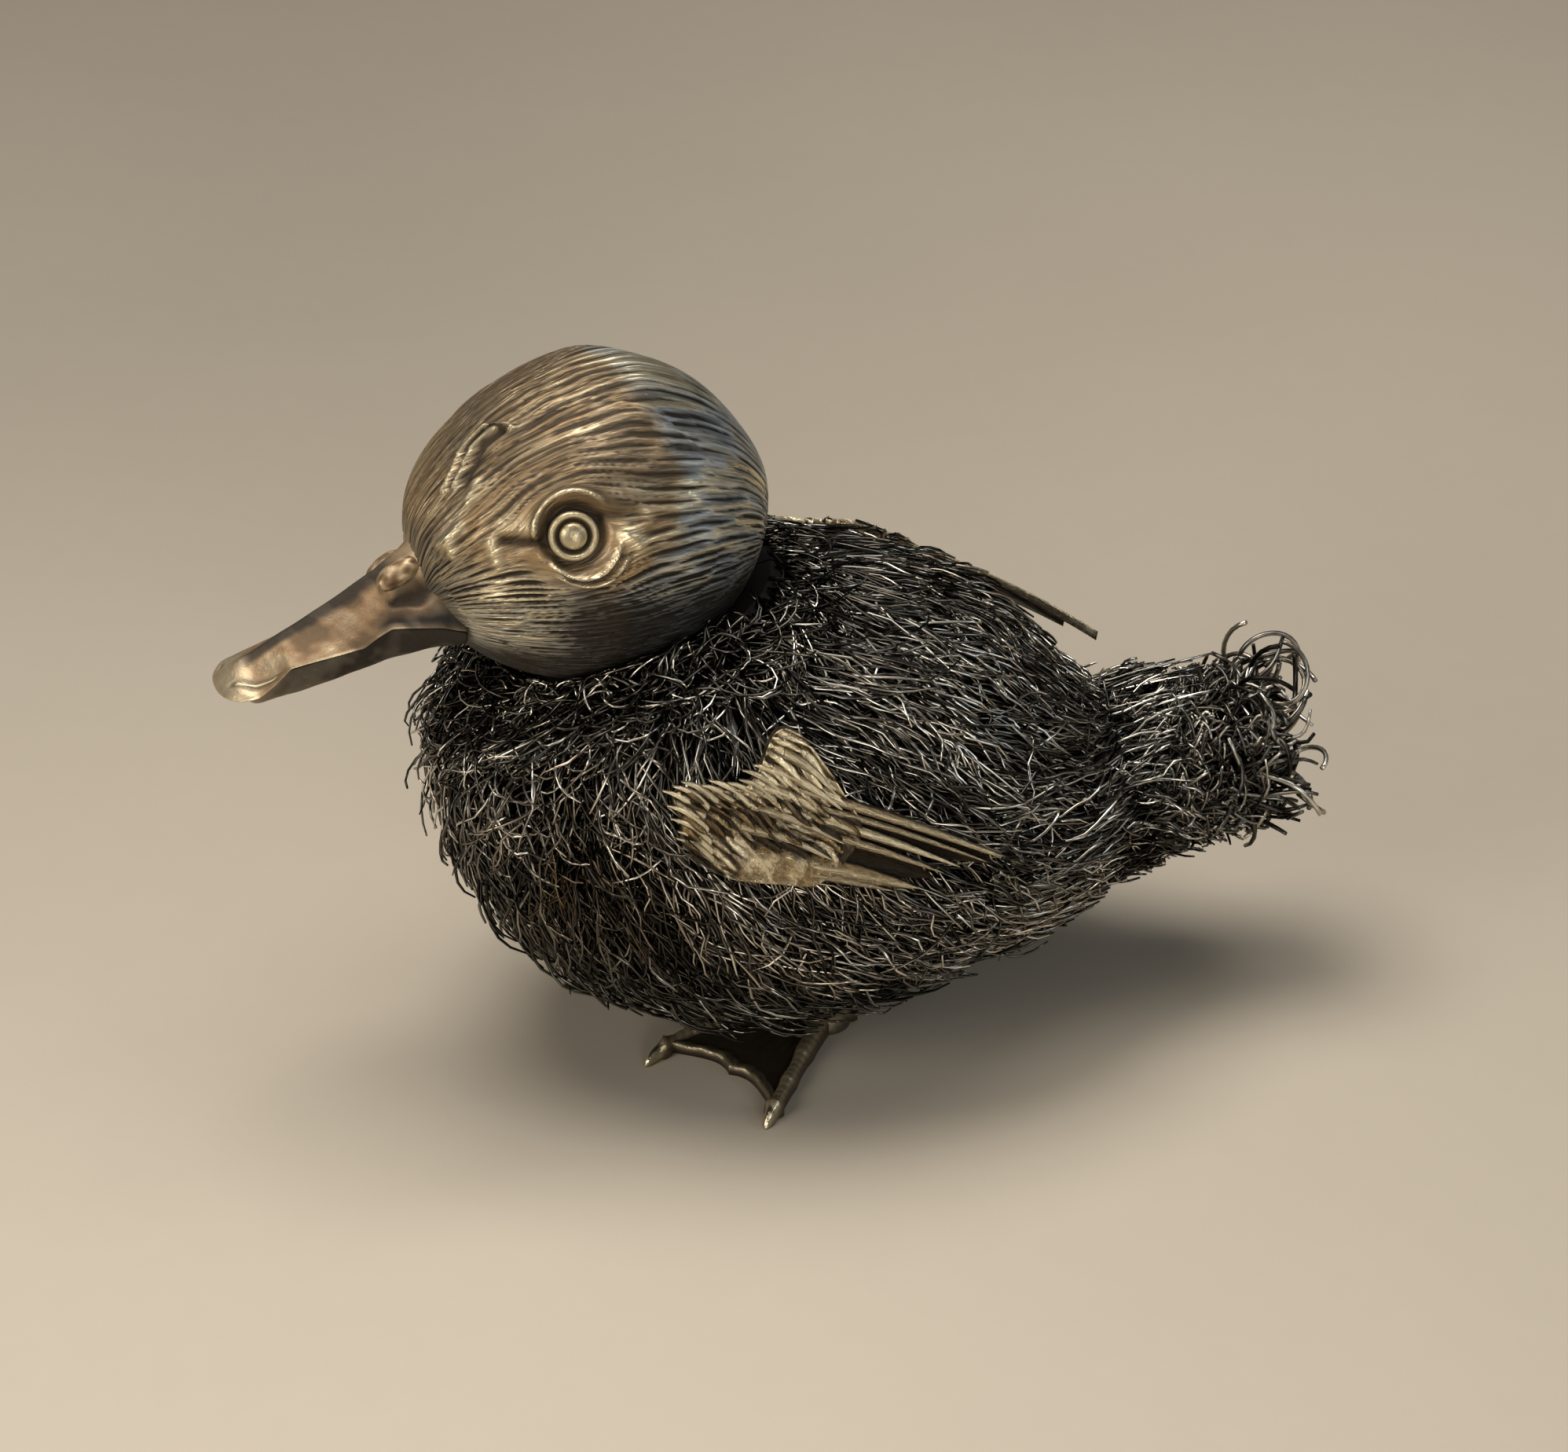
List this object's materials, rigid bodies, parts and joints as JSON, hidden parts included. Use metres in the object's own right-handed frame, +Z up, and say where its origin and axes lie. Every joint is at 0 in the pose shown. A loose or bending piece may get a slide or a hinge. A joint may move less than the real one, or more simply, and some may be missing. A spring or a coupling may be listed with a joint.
{
  "type": "duckling figurine",
  "caption": "Standing duckling ornament with a chased cast head, bill, wings and webbed feet, and a body and tail covered in soldered oxidised silver wire fur.",
  "frame": {"origin": "middle of the figurine's box, on the surface that it stands on", "axes": "+Z up, -Y the way the body faces, +X the duckling's left"},
  "size_m": [0.045, 0.0948, 0.0619],
  "materials": {
    "cast_silver": "cast and chased silver, warm oxidised patina, dark in the strokes",
    "bill_silver": "smooth cast silver with a blotchy warm brown patina",
    "eye_silver": "turned and polished silver stud",
    "wing_silver": "bright cast silver with engraved feathers and a golden patina",
    "foot_silver": "cast silver, brown patina, bright on the rims",
    "wire_silver": "oxidised silver wire, bright where rubbed",
    "tail_wire_silver": "thicker oxidised silver wire",
    "shell_silver": "dull black oxidised silver sheet"
  },
  "bodies": {
    "root": {"head_shell": "cast_silver", "upper_bill": "bill_silver", "lower_bill": "bill_silver", "left_eye": "eye_silver", "right_eye": "eye_silver", "neck_sleeve": "shell_silver", "body_shell_left": "shell_silver", "body_shell_right": "shell_silver", "left_wing": "wing_silver", "right_wing": "wing_silver", "left_wing_washer": "shell_silver", "right_wing_washer": "shell_silver", "left_foot": "foot_silver", "right_foot": "foot_silver", "left_leg_collar": "shell_silver", "right_leg_collar": "shell_silver", "neck_ruff": "wire_silver", "tail_core": "shell_silver", "tail_tuft": "tail_wire_silver", "fur_row_01": "wire_silver", "fur_row_02": "wire_silver", "fur_row_03": "wire_silver", "fur_row_04": "wire_silver", "fur_row_05": "wire_silver", "fur_row_06": "wire_silver", "fur_row_07": "wire_silver", "fur_row_08": "wire_silver", "fur_row_09": "wire_silver", "fur_row_10": "wire_silver", "fur_row_11": "wire_silver", "tail_row_1": "tail_wire_silver", "tail_row_2": "tail_wire_silver", "tail_row_3": "tail_wire_silver"}
  },
  "joints": []
}
